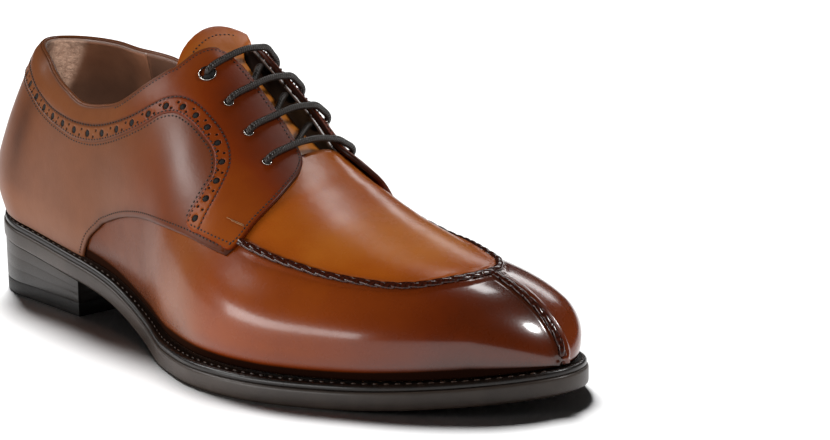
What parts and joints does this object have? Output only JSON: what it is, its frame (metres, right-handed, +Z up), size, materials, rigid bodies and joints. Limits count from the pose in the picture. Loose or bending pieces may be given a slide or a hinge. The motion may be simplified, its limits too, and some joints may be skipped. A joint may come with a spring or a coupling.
{
  "type": "brogue derby shoe",
  "caption": "Brown leather lace-up derby with a raised apron seam, split toe, punched border, welted leather sole and stacked heel; holds a foot.",
  "frame": {"origin": "on the floor, at the middle of the shoe's length and width", "axes": "+X towards the toe, +Y towards the inner side of the foot, +Z up"},
  "size_m": [0.3062, 0.1126, 0.1204],
  "materials": {
    "sole_edge": "dark inked and waxed edge",
    "top_piece_rubber": "matt black-brown rubber",
    "welt_leather": "dark waxed leather strip",
    "insole_leather": "plain tan leather",
    "vamp_leather": "polished burnished calf",
    "quarter_leather": "polished calf",
    "collar_leather": "polished calf",
    "tongue_leather": "polished tan calf",
    "seam_cord": "dark waxed hand-sewn seam",
    "eyelet_metal": "dark lacquered ring",
    "lace_cord": "waxed round cotton cord"
  },
  "bodies": {
    "root": {"outsole": "sole_edge", "heel_stack": "sole_edge", "heel_top_piece": "top_piece_rubber", "welt": "welt_leather", "insole": "insole_leather", "upper": "vamp_leather", "quarter_lateral": "quarter_leather", "quarter_medial": "quarter_leather", "collar_facing_lateral": "collar_leather", "collar_facing_medial": "collar_leather", "tongue": "tongue_leather", "apron_seam": "seam_cord", "toe_seam": "seam_cord", "lace": "lace_cord", "eyelet_lateral_1": "eyelet_metal", "eyelet_lateral_2": "eyelet_metal", "eyelet_lateral_3": "eyelet_metal", "eyelet_lateral_4": "eyelet_metal", "eyelet_medial_1": "eyelet_metal", "eyelet_medial_2": "eyelet_metal", "eyelet_medial_3": "eyelet_metal", "eyelet_medial_4": "eyelet_metal"}
  },
  "joints": []
}
